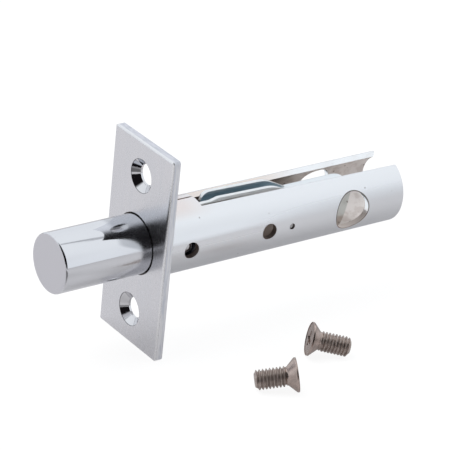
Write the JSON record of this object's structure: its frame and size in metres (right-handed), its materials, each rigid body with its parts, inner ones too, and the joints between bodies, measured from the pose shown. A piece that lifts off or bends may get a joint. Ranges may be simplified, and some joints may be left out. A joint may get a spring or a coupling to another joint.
{
  "type": "door bolt",
  "caption": "Mortice door bolt: a round bolt slides out of a rectangular faceplate, moved by a splined key on a toothed tail inside a slotted barrel.",
  "frame": {"origin": "centre of the faceplate's back face, on the bolt's own line", "axes": "+X along the barrel into the door, away from the bolt's nose; +Z along the faceplate's length, up the door's edge; +Y across the door's edge, away from the side that the picture shows"},
  "size_m": [0.1077, 0.0579, 0.057],
  "materials": {
    "satin_chrome": "satin chrome plate on steel, finely brushed along its length",
    "bright_chrome": "bright plated rolled steel strip, smooth with faint draw lines",
    "polished_chrome": "polished chrome on the round, satin on the end face",
    "zinc_plate": "blue-white zinc plate on steel",
    "bare_steel": "plain steel, slightly dull",
    "bearing_steel": "polished ball steel",
    "nickel_steel": "warm grey nickel plate, semi-bright"
  },
  "bodies": {
    "housing": {"faceplate": "satin_chrome", "barrel": "bright_chrome", "travel_stop_pin": "bare_steel", "fixing_screw_1": "nickel_steel", "fixing_screw_2": "nickel_steel"},
    "bolt": {"bolt_rod": "polished_chrome", "rack_tail": "zinc_plate", "tail_rivet_front": "bare_steel", "tail_rivet_rear": "bare_steel", "detent_spring": "bare_steel"},
    "near_ball": {"detent_ball_near": "bearing_steel"},
    "far_ball": {"detent_ball_far": "bearing_steel"}
  },
  "joints": [
    {"name": "bolt_slide", "type": "slide", "parent": "housing", "child": "bolt", "axis": [1, 0, 0], "range_m": [0, 0.025]},
    {"name": "near_ball_slide", "type": "slide", "parent": "bolt", "child": "near_ball", "axis": [0, -1, 0], "range_m": [0, 0.00105], "stiffness_N_per_m": 100, "springref_m": 0.00105},
    {"name": "far_ball_slide", "type": "slide", "parent": "bolt", "child": "far_ball", "axis": [0, 1, 0], "range_m": [0, 0.00105], "stiffness_N_per_m": 100, "springref_m": 0.00105}
  ]
}
